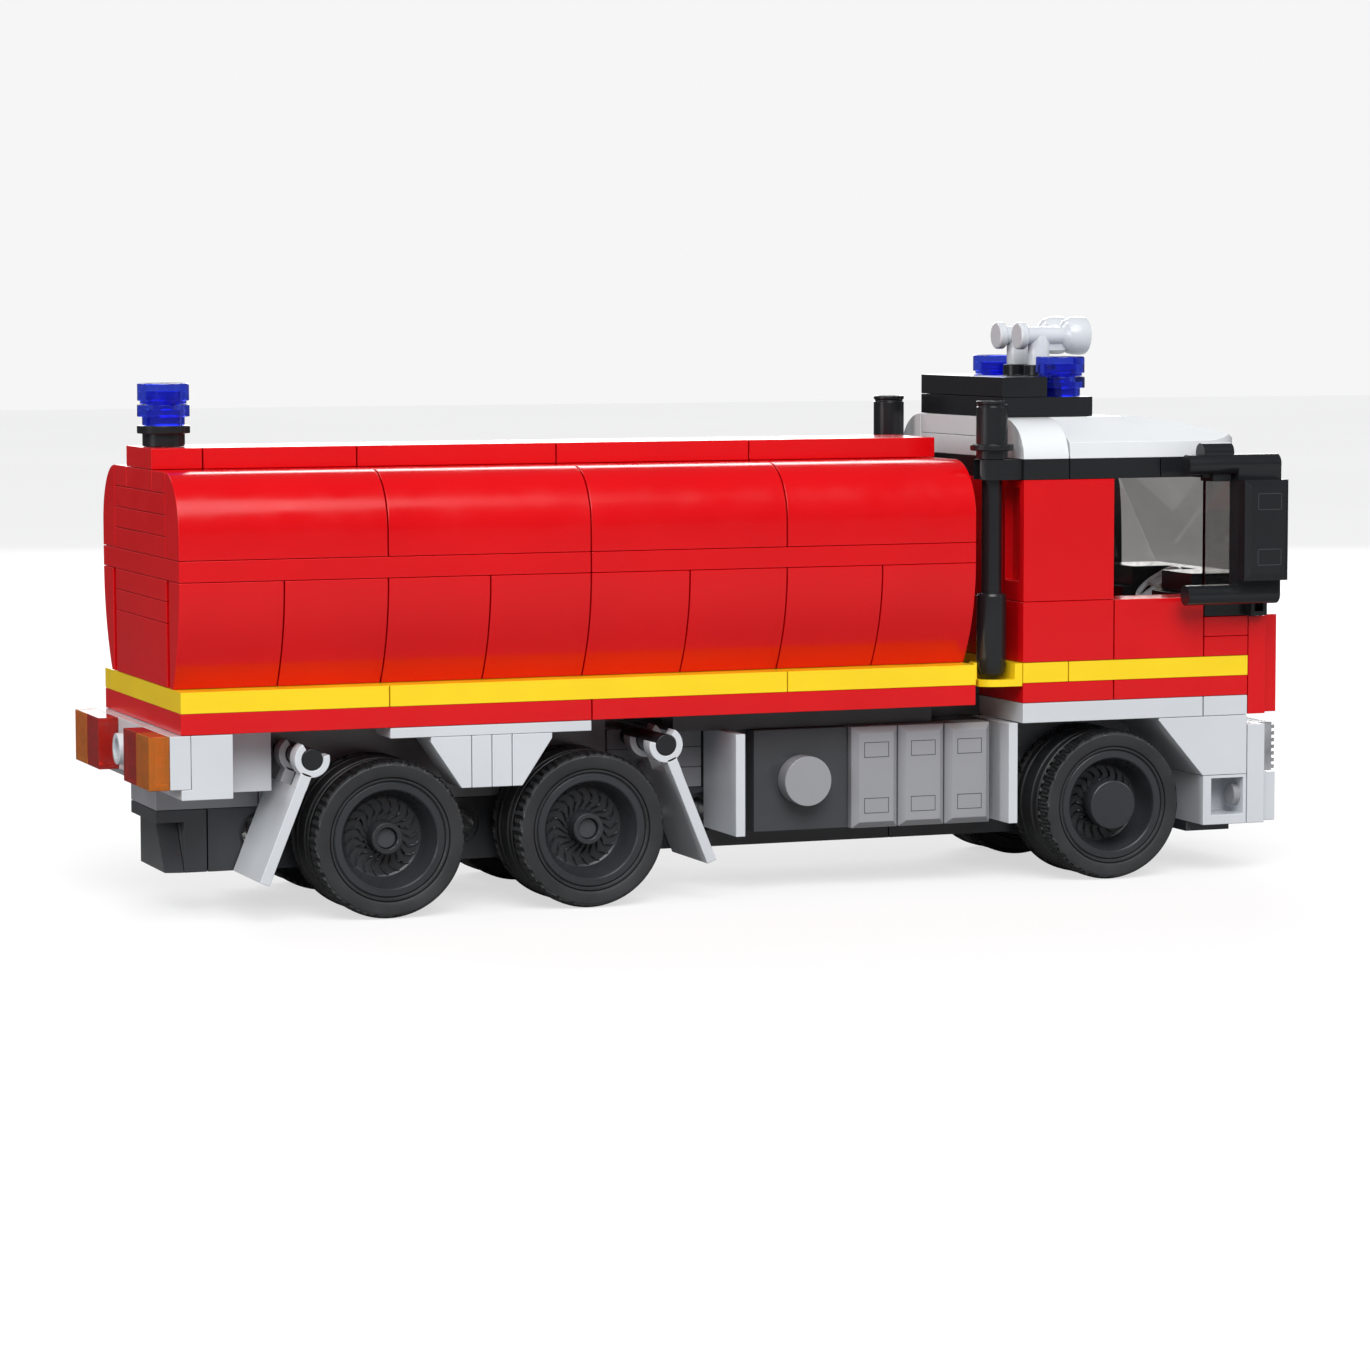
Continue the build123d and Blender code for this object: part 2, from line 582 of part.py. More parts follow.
def mirror_arms():
    """Two bars a side on the cab's corners, with the clips that hold them and the plate between them."""
    low, high = MIRROR_BARS
    bars = [lengthwise((162.4, 178.6), MIRROR_Y, z, BAR_R) for z in MIRROR_BARS]
    hook = box((175.4, 178.3), (-25.8, -23.95), (4 * PLATE + 0.1, 5 * PLATE - 0.1))
    hook = hook - box((176.1, 177.6), (-28, -23), (4 * PLATE + 0.8, 5 * PLATE - 0.8))
    tie = box((175.4, 178.3), (-27.6, -25.2), (5 * PLATE - 0.8, low + 0.5))
    hump = lengthwise((165.3, 170.6), MIRROR_Y + 0.8, high + 1.9, 1.5)
    jaw = box((167.1, 170.3), (MIRROR_Y - 0.2, -23.95), (high - 2.7, high - 1))
    arm = box((165.6, 170.3), (MIRROR_Y + 0.4, -23.95), (11 * PLATE + LEVEL, 12 * PLATE - LEVEL))
    back = box((171.0, 178.6), (-29.55, -26.5), (low, high))
    return both_sides([bars[0] + bars[1] + back + hump + jaw + arm + hook + tie])


def mirror_panels():
    """The bevelled mirror housings, facing outwards."""
    slab = box(MIRROR_X, (-32.8, -29.6), (18.9, 34.9))
    face = slab.faces().sort_by(Axis.Y)[0]
    rear_edge = face.edges().sort_by(Axis.X)[0]
    others = [e for e in face.edges() if e != rear_edge]
    slab = chamfer(others, 1.1)
    rear_edge = slab.faces().sort_by(Axis.Y)[0].edges().sort_by(Axis.X)[0]
    return both_sides([chamfer(rear_edge, 0.8)])


def build():
    parts["chassis_beams"] = chassis_beams() + chassis_plates()
    parts["rear_block"] = rear_block() + rear_bumper()
    parts["chassis_risers"] = chassis_risers()
    parts["deck_plates"] = deck_plates() + cab_sill()
    parts["stripe_plates"] = stripe_plates() + cab_stripe()
    parts["tank_core"] = tank_core() + tank_rear_plates()
    parts["tank_band"] = tank_band()
    parts["tank_lower_panels"] = both_sides(lower_panels())
    parts["tank_upper_panels"] = both_sides(upper_panels())
    parts["tank_ridge"] = tank_ridge()
    parts["tail_frame"] = tail_frame()
    parts["tail_lamps_orange"] = lamps(2, 3)
    parts["tail_lamps_red"] = lamps(1, 2)
    parts["beacon_base"] = beacon_base()
    parts["arch_trim"] = arch_trim()
    parts["locker_frames"] = locker_frames()
    parts["locker_backs"] = locker_backs()
    parts["locker_doors"] = locker_doors() + locker_caps()
    parts["flap_bars"] = flap_bars()
    for end, x in FLAP_BARS.items():
        lean = FLAP_LEAN if end == "rear" else -FLAP_LEAN
        parts[f"flap_{end}_right"] = flap(x, lean)
        parts[f"flap_{end}_left"] = mirrored(flap(x, lean))
    for name, studs in AXLES.items():
        parts[f"axle_{name}"] = axle(studs * STUD)
        parts[f"rims_{name}"] = rims(studs * STUD)
        parts[f"tyres_{name}"] = tyres(studs * STUD)
    parts["rims_front"] += hub_caps(AXLES["front"] * STUD)
    parts["cab_base"] = cab_base()
    parts["cab_walls"] = cab_walls()
    parts["cab_band"] = cab_band()
    parts["cab_roof"] = cab_roof()
    parts["roof_plates"] = roof_plates()
    parts["blue_lights"] = roof_lights() + beacon_lens()
    parts["cannon_right"] = cannon(-CANNON_Y)
    parts["cannon_left"] = cannon(CANNON_Y)
    parts["windscreen"] = windscreen()
    parts["cab_inside"] = cab_inside()
    parts["steering_wheel"] = steering_wheel()
    parts["front_panels"] = front_panels()
    parts["front_grille"] = front_grille()
    parts["front_bumper"] = front_bumper()
    parts["chrome_grilles"] = chrome_grilles()
    parts["cab_steps"] = cab_steps()
    parts["exhausts"] = exhausts()
    parts["mirrors"] = mirror_arms() + mirror_panels()


def export_all():
    os.makedirs("parts", exist_ok=True)
    place = Pos(-(NOSE + TAIL) / 2, 0, -GROUND)
    for name, solids in parts.items():
        placed = [solid for piece in solids for solid in (place * piece).solids()]
        export_step(Compound(placed), f"parts/{name}.step")
    print(len(parts), "nodes")


build()
export_all()
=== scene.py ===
# %% [markdown]
# A toy airport fire truck, built from studded bricks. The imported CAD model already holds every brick,
# joint and size. This lesson gives it the look of the real toy: moulded plastic with softened edges,
# rubber tyres with lugs, clear lamps and bright grilles. Everything new is measured in millimetres in
# the truck's own frame, because the toy's grid of 8 mm studs and 3.2 mm plates is the easiest ruler,
# and is turned to metres when a mesh is finished.

# %% Load the frame
import json
import math

import bmesh
import bpy
from mathutils import Matrix, Vector


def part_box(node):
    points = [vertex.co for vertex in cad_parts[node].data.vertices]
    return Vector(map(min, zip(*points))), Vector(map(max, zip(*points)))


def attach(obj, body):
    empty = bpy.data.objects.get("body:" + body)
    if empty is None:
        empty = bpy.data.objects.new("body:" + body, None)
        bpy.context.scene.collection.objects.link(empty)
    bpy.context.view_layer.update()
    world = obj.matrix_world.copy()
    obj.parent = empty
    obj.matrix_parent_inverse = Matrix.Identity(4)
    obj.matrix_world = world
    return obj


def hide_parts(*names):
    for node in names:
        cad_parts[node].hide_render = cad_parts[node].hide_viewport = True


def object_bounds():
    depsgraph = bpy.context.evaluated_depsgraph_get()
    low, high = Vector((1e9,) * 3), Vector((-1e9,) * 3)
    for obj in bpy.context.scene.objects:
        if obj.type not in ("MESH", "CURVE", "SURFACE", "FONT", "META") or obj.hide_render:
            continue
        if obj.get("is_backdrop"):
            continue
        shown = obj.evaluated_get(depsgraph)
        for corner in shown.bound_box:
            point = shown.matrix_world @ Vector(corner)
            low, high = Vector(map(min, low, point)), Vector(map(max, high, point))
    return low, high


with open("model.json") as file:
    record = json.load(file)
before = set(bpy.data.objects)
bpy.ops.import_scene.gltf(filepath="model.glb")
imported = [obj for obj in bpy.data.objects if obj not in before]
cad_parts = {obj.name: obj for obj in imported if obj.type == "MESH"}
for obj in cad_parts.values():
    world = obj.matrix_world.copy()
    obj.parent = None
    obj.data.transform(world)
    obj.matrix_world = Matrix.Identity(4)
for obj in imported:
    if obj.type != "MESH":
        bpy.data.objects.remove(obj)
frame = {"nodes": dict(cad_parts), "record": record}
size_before = [list(corner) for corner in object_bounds()]
MM = 0.001
STUD, PLATE = 8.0, 3.2
print("truck", [round((b - a) / MM, 1) for a, b in zip(*size_before)], "mm")

# %% [markdown]
# Every place is read from the frame. The joints give the axles, the bars that the flaps hang on and
# the cannons, and the box of a node gives the limits of the pieces that stand in its place.

# %% Places
record = frame["record"]
JOINT = {j["name"]: Vector(j["pos_m"]) / MM for j in record["behaviour"]["joints"]}
AXLES = {end: JOINT[f"{end}_axle_roll"] for end in ("rear", "middle", "front")}


def limits(node):
    """A node's lowest and highest corners in millimetres."""
    low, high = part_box(node)
    return low / MM, high / MM


FACE = limits("tyres_front")[1].y
print("axles at", {k: round(v.x, 1) for k, v in AXLES.items()}, "sidewalls at", round(FACE, 1))

# %% [markdown]
# The camera stands low by the truck's rear right-hand corner with a long lens, so that parallel edges
# stay almost parallel. A camera is placed with three axes: its right, its up and the way behind it, as
# a rotation matrix holds.

# %% Camera
camera_data = bpy.data.cameras.new("view")
camera_data.lens, camera_data.sensor_width = 112.86, 36
camera_data.clip_start, camera_data.clip_end = 0.01, 20
camera = bpy.data.objects.new("view", camera_data)
bpy.context.collection.objects.link(camera)
right, up, back = (
    (0.93440681, -0.35620107, -0.00216974),
    (0.03379753, 0.08259256, 0.99601014),
    (-0.35460068, -0.93075199, 0.08921376),
)
stand = Matrix.Translation((-0.24250, -0.63488, 0.09222))
camera.matrix_world = stand @ Matrix((right, up, back)).transposed().to_4x4()
bpy.context.scene.camera = camera
print("camera", [round(v, 3) for v in camera.location], "lens", round(camera_data.lens, 2))

# %% [markdown]
# A wide soft sun over the near side lights the floor evenly as far as the horizon. Square lamps add
# the soft reflections: one over the near side, one in front of the cab, one for the tail, a far one
# that draws edges, and one over the far side. Each lamp has a place, a size and a power.

# %% Lamps
LAMPS = {
    "key": ((-0.15, -0.60, 0.55), 0.35, 1.3),
    "front": ((0.75, -0.45, 0.35), 0.4, 1.2),
    "tail": ((-0.75, -0.15, 0.25), 0.3, 2.0),
    "rim": ((-0.45, 0.50, 0.60), 0.2, 1.0),
    "far side": ((0.30, 0.75, 0.35), 0.5, 3.5),
}
MIDDLE_OF_TRUCK = Vector((0, 0, 0.04))
SUN_POWER, SUN_SPREAD, SUN_WAY = 2.4, 50, Vector((0.15, 0.76, -0.76))


def area(name, place, size, power):
    """A square lamp that looks at the truck."""
    data = bpy.data.lights.new(name, "AREA")
    data.shape, data.size, data.energy = "SQUARE", size, power
    lamp = bpy.data.objects.new(name, data)
    lamp.location = place
    lamp.rotation_euler = (MIDDLE_OF_TRUCK - Vector(place)).to_track_quat("-Z", "Y").to_euler()
    bpy.context.collection.objects.link(lamp)


for name, (place, size, power) in LAMPS.items():
    area(name, place, size, power)
sun_data = bpy.data.lights.new("soft sun", "SUN")
sun_data.energy, sun_data.angle = SUN_POWER, math.radians(SUN_SPREAD)
sun = bpy.data.objects.new("soft sun", sun_data)
sun.rotation_euler = SUN_WAY.to_track_quat("-Z", "Y").to_euler()
bpy.context.collection.objects.link(sun)
print(len(bpy.data.lights), "lamps")

# %% [markdown]
# The room itself is dim, because a bright room would wash out the red, but the camera sees it almost
# white, and half as bright through clear plastic. The Light Path node tells one kind of ray from the
# other, so a small helper turns it into a number, which the floor uses again at the end.

# %% Room
ROOM_LIGHT = 0.14
THROUGH_TO_ROOM = 0.5


def sight(tree, share=0.0):
    """1 where the camera looks straight at something, and a share of that through clear plastic."""
    path = tree.nodes.new("ShaderNodeLightPath")
    total = tree.nodes.new("ShaderNodeMath")
    total.operation = "MULTIPLY_ADD"
    total.inputs[1].default_value = share
    tree.links.new(path.outputs["Is Transmission Ray"], total.inputs[0])
    tree.links.new(path.outputs["Is Camera Ray"], total.inputs[2])
    return total.outputs[0]


world = bpy.data.worlds.new("studio")
bpy.context.scene.world = world
world.use_nodes = True
sky = world.node_tree
room = sky.nodes["Background"]
room.inputs["Color"].default_value = (0.92, 0.95, 1.0, 1)
room.inputs["Strength"].default_value = ROOM_LIGHT
backdrop = sky.nodes.new("ShaderNodeBackground")
backdrop.inputs["Color"].default_value = (0.92, 0.92, 0.92, 1)
either = sky.nodes.new("ShaderNodeMixShader")
sky.links.new(sight(sky, THROUGH_TO_ROOM), either.inputs[0])
sky.links.new(room.outputs[0], either.inputs[1])
sky.links.new(backdrop.outputs[0], either.inputs[2])
sky.links.new(either.outputs[0], sky.nodes["World Output"].inputs["Surface"])
bpy.context.scene.view_settings.view_transform = "Standard"
print("room light", ROOM_LIGHT)

# %% [markdown]
# Every finish is a shader fed by noises on Object coordinates. A wide noise bends the colour, another
# the roughness, and a fine one lifts the surface by a few hundredths of a millimetre. One class wires
# those nodes, so that each finish below is only a few lines of numbers.

# %% A helper that wires node materials
NOISE_LOW, NOISE_HIGH = 0.3, 0.7


def linear(c):
    """A screen colour's channel as the linear number that a shader takes."""
    return ((c + 0.055) / 1.055) ** 2.4 if c > 0.04045 else c / 12.92


class Finish:
    """A material under construction: its shader, and short names for the nodes that feed it."""

    def __init__(self, name, roughness, **sockets):
        self.material = bpy.data.materials.new(name)
        self.material.use_nodes = True
        self.tree = self.material.node_tree
        self.shader = self.tree.nodes["Principled BSDF"]
        self.shader.inputs["Roughness"].default_value = roughness
        for socket, value in sockets.items():
            self.shader.inputs[socket.replace("_", " ")].default_value = value
        self.place = self.tree.nodes.new("ShaderNodeTexCoord").outputs["Object"]

    def noise(self, scale, detail=3.0, stretch=None):
        node = self.tree.nodes.new("ShaderNodeTexNoise")
        node.inputs["Scale"].default_value = scale
        node.inputs["Detail"].default_value = detail
        source = self.place
        if stretch:
            mapping = self.tree.nodes.new("ShaderNodeMapping")
            mapping.inputs["Scale"].default_value = stretch
            self.tree.links.new(source, mapping.inputs["Vector"])
            source = mapping.outputs["Vector"]
        self.tree.links.new(source, node.inputs["Vector"])
        return node.outputs["Fac"]

    def spread(self, value, start, end, low, high):
        """Numbers from low to high as a value goes from start to end."""
        node = self.tree.nodes.new("ShaderNodeMapRange")
        numbers = {"From Min": start, "From Max": end, "To Min": low, "To Max": high}
        for name, number in numbers.items():
            node.inputs[name].default_value = number
        self.tree.links.new(value, node.inputs["Value"])
        return node.outputs["Result"]

    def gloss(self, value, low, high):
        """Roughness between low and high."""
        result = self.spread(value, NOISE_LOW, NOISE_HIGH, low, high)
        self.tree.links.new(result, self.shader.inputs["Roughness"])

    def tint(self, value, dark, light):
        """Colour between dark and light."""
        node = self.tree.nodes.new("ShaderNodeValToRGB")
        first, last = node.color_ramp.elements
        first.position, last.position = NOISE_LOW, NOISE_HIGH
        first.color, last.color = (*dark, 1), (*light, 1)
        self.tree.links.new(value, node.inputs["Fac"])
        self.tree.links.new(node.outputs["Color"], self.shader.inputs["Base Color"])

    def bump(self, value, strength, distance):
        node = self.tree.nodes.new("ShaderNodeBump")
        node.inputs["Strength"].default_value = strength
        node.inputs["Distance"].default_value = distance
        self.tree.links.new(value, node.inputs["Height"])
        self.tree.links.new(node.outputs["Normal"], self.shader.inputs["Normal"])


MATERIALS = {}
COLOUR = {m["slot"]: [linear(c) for c in m["base_color"][:3]] for m in record["materials"]}
print(len(COLOUR), "slots in the record")

# %% [markdown]
# The bricks are moulded from glossy plastic. Its colour is almost even, with a faint cloudiness, and
# its gloss varies a little where hands and mould flow have dulled it. The colours come from the
# record, apart from three that need to be deeper to look right in this light.

# %% Moulded plastics
DEEP = {
    "red_plastic": (0.66, 0.003, 0.006),
    "dark_grey_plastic": (0.055, 0.058, 0.063),
    "black_plastic": (0.013, 0.014, 0.016),
}
BRIGHT_ROUGHNESS, DARK_ROUGHNESS = 0.17, 0.2
CLOUD = 0.04


def moulded(slot, roughness):
    rgb = DEEP.get(slot, COLOUR[slot])
    finish = Finish(slot, roughness, IOR=1.48, Specular_IOR_Level=0.4)
    dark, light = [c * (1 - CLOUD) for c in rgb], [min(1, c * (1 + CLOUD)) for c in rgb]
    finish.tint(finish.noise(45.0), dark, light)
    finish.gloss(finish.noise(160.0, 4.0), roughness - 0.05, roughness + 0.07)
    finish.bump(finish.noise(900.0, 2.0), 0.12, 0.00002)
    MATERIALS[slot] = finish.material


for slot in COLOUR:
    if slot.endswith("_plastic"):
        moulded(slot, DARK_ROUGHNESS if slot.startswith(("black", "dark")) else BRIGHT_ROUGHNESS)
print("plastics:", sorted(MATERIALS))

# %% [markdown]
# The wheel rims get a finish of their own, made in the same way: duller than the chassis, and darker
# than its grey. The darker colour is painted shade, standing for the shade inside the deep dish.

# %% Rim plastic, darkened with painted shade
shaded_rim_plastic = Finish("shaded_rim_plastic", 0.3, IOR=1.48, Specular_IOR_Level=0.4)
# Painted shade: this colour is darker than the dark grey plastic of the rims' own slot.
shaded_rim_plastic.tint(shaded_rim_plastic.noise(60.0), (0.026, 0.028, 0.031), (0.034, 0.036, 0.040))
shaded_rim_plastic.gloss(shaded_rim_plastic.noise(200.0), 0.24, 0.36)
shaded_rim_plastic.bump(shaded_rim_plastic.noise(900.0, 2.0), 0.12, 0.00002)
print(shaded_rim_plastic.material.name)

# %% [markdown]
# Tyres are soft rubber: almost black, dull, with a bloom of grey dust in wide patches and a fine
# pebbled skin. The bloom is a wide noise in the colour, and the skin is a fine noise in the bump.

# %% Rubber
rubber = Finish("tyre_rubber", 0.55, IOR=1.5)
rubber.tint(rubber.noise(120.0, 4.0), (0.014, 0.015, 0.016), (0.026, 0.027, 0.029))
rubber.gloss(rubber.noise(300.0), 0.42, 0.62)
rubber.bump(rubber.noise(2200.0, 2.0), 0.3, 0.00004)
MATERIALS["tyre_rubber"] = rubber.material
print(rubber.material.name)

# %% [markdown]
# Lamps, beacons and the windscreen are clear tinted plastic. Light passes through the shader and picks
# up its tint at each wall, so the pieces are modelled hollow below. The orange and red are so deeply
# dyed that they throw back a part of the light as colour, so only a share of it passes. A slow noise
# in the roughness gives the slight waviness of a moulded lens, and the smoked windscreen has a pale
# tint so that the cab shows through it.

# %% Clear plastics
CLEAR = {
    "clear_blue": ((0.03, 0.06, 0.72), (0.05, 0.09, 0.82), 0.92),
    "clear_orange": ((0.90, 0.27, 0.010), (0.98, 0.36, 0.02), 0.7),
    "clear_red": ((0.70, 0.02, 0.01), (0.80, 0.035, 0.02), 0.75),
    "smoked_clear": ((0.50, 0.49, 0.48), (0.58, 0.57, 0.56), 1.0),
}
for slot, (dark, light, share) in CLEAR.items():
    clear = Finish(slot, 0.05, IOR=1.46, Transmission_Weight=share, Specular_IOR_Level=0.35)
    clear.tint(clear.noise(60.0), dark, light)
    clear.gloss(clear.noise(90.0), 0.02, 0.08)
    clear.bump(clear.noise(250.0, 1.0), 0.05, 0.00003)
    MATERIALS[slot] = clear.material
print("clear:", sorted(CLEAR))

# %% [markdown]
# The grilles have a bright metal coat over plastic. It is a metal shader with fine streaks along the
# ribs, made by a noise that is stretched across the truck.

# %% Bright metal coat
chrome = Finish("bright_chrome", 0.12, Metallic=1.0)
chrome.tint(chrome.noise(200.0), (0.34, 0.35, 0.37), (0.80, 0.81, 0.83))
chrome.gloss(chrome.noise(400.0, stretch=(1, 0.08, 1)), 0.03, 0.10)
chrome.bump(chrome.noise(700.0, 2.0, stretch=(1, 0.1, 1)), 0.1, 0.00002)
MATERIALS["bright_chrome"] = chrome.material
print(len(MATERIALS), "finishes")

# %% [markdown]
# A moulded brick has no knife edges: each is rounded by about a tenth of a millimetre, and the light
# that edge catches is what makes bricks look real. Changing the CAD meshes isn't allowed, so modifiers
# do it: Weld joins the loose triangles, Decimate dissolves the flat ones into whole faces, a small
# node group marks everything but sharp edges smooth, and Bevel rounds what is left sharp, with
# hardened normals so that the flats stay flat.

# %% Soft edges
SMOOTH_BELOW, ROUND_ABOVE, FLAT_BELOW = 22, 32, 0.5
WELD = 0.002
EDGE = 0.12


def smooth_group():
    """A node group that shades faces smooth and keeps the sharper edges sharp."""
    group = bpy.data.node_groups.new("smooth by angle", "GeometryNodeTree")
    for way in ("INPUT", "OUTPUT"):
        group.interface.new_socket("Geometry", in_out=way, socket_type="NodeSocketGeometry")
    group.is_modifier = True
    enter, leave = group.nodes.new("NodeGroupInput"), group.nodes.new("NodeGroupOutput")
    angle = group.nodes.new("GeometryNodeInputMeshEdgeAngle")
    small = group.nodes.new("FunctionNodeCompare")
    small.data_type, small.operation = "FLOAT", "LESS_THAN"
    small.inputs[1].default_value = math.radians(SMOOTH_BELOW)
    faces = group.nodes.new("GeometryNodeSetShadeSmooth")
    edges = group.nodes.new("GeometryNodeSetShadeSmooth")
    faces.domain, edges.domain = "FACE", "EDGE"
    group.links.new(enter.outputs[0], faces.inputs[0])
    group.links.new(faces.outputs[0], edges.inputs[0])
    group.links.new(angle.outputs["Unsigned Angle"], small.inputs[0])
    group.links.new(small.outputs[0], edges.inputs["Shade Smooth"])
    group.links.new(edges.outputs[0], leave.inputs[0])
    return group


SMOOTH = smooth_group()


def soften(obj, width=EDGE, loose=False):
    """Gives an object rounded edges, smooth curves and flat flats."""
    if loose:
        weld = obj.modifiers.new("weld", "WELD")
        weld.merge_threshold = WELD * MM
        flat = obj.modifiers.new("flat", "DECIMATE")
        flat.decimate_type, flat.angle_limit = "DISSOLVE", math.radians(FLAT_BELOW)
    shade = obj.modifiers.new("shade", "NODES")
    shade.node_group = SMOOTH
    if width:
        edge = obj.modifiers.new("edge", "BEVEL")
        edge.width, edge.segments, edge.limit_method = width * MM, 2, "ANGLE"
        edge.angle_limit, edge.harden_normals = math.radians(ROUND_ABOVE), True


SLOT = {s["node"]: s["material_slot"] for s in record["subparts"]}
for node, obj in frame["nodes"].items():
    obj.data.materials.clear()
    obj.data.materials.append(MATERIALS[SLOT[node]])
    soften(obj, loose=True)
print("softened", len(SLOT), "nodes")

# %% [markdown]
# New pieces start as a bmesh in millimetres. One helper spins an outline round an axle, one places a
# block, and one closes the work: it merges doubled points, turns the faces outwards, changes
# millimetres to metres, and hands the piece to its body.

# %% Shared helpers
AXIS = {"x": Vector((1, 0, 0)), "y": Vector((0, 1, 0)), "z": Vector((0, 0, 1))}
OUT = {"x": Vector((0, 0, 1)), "y": Vector((1, 0, 0)), "z": Vector((1, 0, 0))}


def spun(bm, outline, centre, axis="y", steps=48, loop=False):
    """Spins an outline of (radius, distance along the axis). A loop is a closed outline."""
    points = [bm.verts.new(centre + OUT[axis] * r + AXIS[axis] * d) for r, d in outline]
    pairs = list(zip(points, points[1:])) + ([(points[-1], points[0])] if loop else [])
    geom = points + [bm.edges.new(pair) for pair in pairs]
    bmesh.ops.spin(
        bm, geom=geom, cent=centre, axis=AXIS[axis], angle=math.tau, steps=steps, use_merge=True
    )


def block(bm, low, high):
    """A block between two corners. Returns its faces."""
    low, high = Vector(low), Vector(high)
    place = Matrix.Translation((low + high) / 2) @ Matrix.Diagonal((*(high - low), 1))
    made = bmesh.ops.create_cube(bm, size=1, matrix=place)["verts"]
    return list(dict.fromkeys(face for v in made for face in v.link_faces))


def points_of(extruded):
    """The points of a fresh extrusion, which still have to be moved."""
    return [v for v in extruded if isinstance(v, bmesh.types.BMVert)]


def both_sides(bm):
    """Adds the left-hand twin of everything so far."""
    geom = bm.verts[:] + bm.edges[:] + bm.faces[:]
    bmesh.ops.mirror(bm, geom=geom, axis="Y", merge_dist=0)


def piece(bm, name, slot, body, replaces=(), edge=EDGE, finish=None):
    """Finishes a bmesh in millimetres as a piece that rides on a body."""
    bmesh.ops.remove_doubles(bm, verts=bm.verts, dist=WELD)
    bmesh.ops.recalc_face_normals(bm, faces=bm.faces)
    bmesh.ops.scale(bm, vec=(MM, MM, MM), verts=bm.verts)
    mesh = bpy.data.meshes.new(name)
    bm.to_mesh(mesh)
    bm.free()
    obj = bpy.data.objects.new(name, mesh)
    bpy.context.collection.objects.link(obj)
    mesh.materials.append(finish or MATERIALS[slot])
    soften(obj, edge)
    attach(obj, body)
    if replaces:
        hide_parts(*replaces)
    print(name, len(mesh.polygons), "faces on", body)


print("one turn is", round(math.degrees(math.tau)), "degrees")

# %% [markdown]
# A tyre is a ring of rubber with a flat sidewall, a thin raised line by the rim, ribs round the middle
# of the tread and small teeth on both shoulders. Half its section, from the bore over the sidewall to
# the first tread ribs, is turned over for the other half and spun round the axle. The teeth are the
# shoulder faces left standing when every second one is extruded and sunk towards the axle. Extrude is
# given the faces without their edges, so the old faces stay, as a thin skin over each gap.

# %% Tyres
TYRE_WIDE = 14.0
HALF_TYRE = [
    (8.75, 1.4), (8.75, 0.45), (8.95, 0.22), (9.2, 0.22), (9.32, 0.5), (9.45, 0.16), (9.8, 0.04),
    (11.2, 0.0), (11.5, 0.14), (11.68, 0.5), (11.85, 0.95), (12.0, 1.5), (12.0, 2.6), (11.6, 2.8),
    (11.6, 3.25), (11.9, 3.4), (11.9, 4.7), (11.55, 4.85), (11.55, 5.25), (11.9, 5.4),
]
TYRE = HALF_TYRE + [(r, TYRE_WIDE - d) for r, d in reversed(HALF_TYRE)]
TEETH = 120
SHOULDER_START, SHOULDER_END, SHOULDER_R = 0.14, 2.6, 11.5
SUNK = 0.976

for end, axle in AXLES.items():
    bm = bmesh.new()
    centre = Vector((axle.x, 0, axle.z))
    spun(bm, [(r, d - FACE) for r, d in TYRE], centre, steps=TEETH, loop=True)
    gaps = []
    for face in bm.faces:
        middle = face.calc_center_median() - centre
        depth = min(middle.y + FACE, TYRE_WIDE - FACE - middle.y)
        turn = math.atan2(middle.z, middle.x) / math.tau
        on_shoulder = SHOULDER_START < depth < SHOULDER_END and middle.xz.length > SHOULDER_R
        if on_shoulder and round(turn * TEETH - 0.5) % 2:
            gaps.append(face)
    lowered = points_of(bmesh.ops.extrude_face_region(bm, geom=gaps)["geom"])
    shrink = Matrix.Diagonal((SUNK, 1, SUNK, 1))
    shrink = Matrix.Translation(centre) @ shrink @ Matrix.Translation(-centre)
    bmesh.ops.transform(bm, matrix=shrink, verts=lowered)
    both_sides(bm)
    piece(bm, f"tyre_pair_{end}", "tyre_rubber", f"wheels_{end}", [f"tyres_{end}"], edge=0)

# %% [markdown]
# A rim is a deep dish with a hub tube in its middle and curved ribs on the dish's floor. The dish is
# spun. One rib starts as a small upright face that is extruded outwards in five steps, turning a
# little at each, which bends it into an S, and spin repeats it round the hub as duplicates. The old
# faces between the steps stay inside the rib. The front wheels also carry a round flat cap.

# %% Rims
DISH = 4.7
RIM = [
    (8.7, 0.5), (8.5, 0.32), (7.62, 0.32), (7.42, 0.5), (7.3, 1.1), (6.95, 2.6), (6.5, 4.0),
    (6.1, 4.55), (5.8, DISH), (2.6, DISH), (2.45, 4.5), (2.4, 1.8), (2.25, 1.66), (1.75, 1.66),
    (1.6, 1.8), (1.56, 12.8), (2.6, 12.8), (2.6, 5.9), (7.5, 6.6), (7.6, 13.3), (8.7, 13.3),
]
CAP = [
    (0, 0.02), (3.7, 0.02), (3.86, 0.1), (3.9, 0.3), (3.9, 2.1), (3.4, 2.3), (3.2, 4.8), (0, 4.8),
]
RIBS = 20
RIB_START, RIB_STEP, RIB_WIDE, RIB_TALL = 2.5, 0.66, 0.24, 0.42
RIB_TURNS = (9, 9, 3, -5, -7)


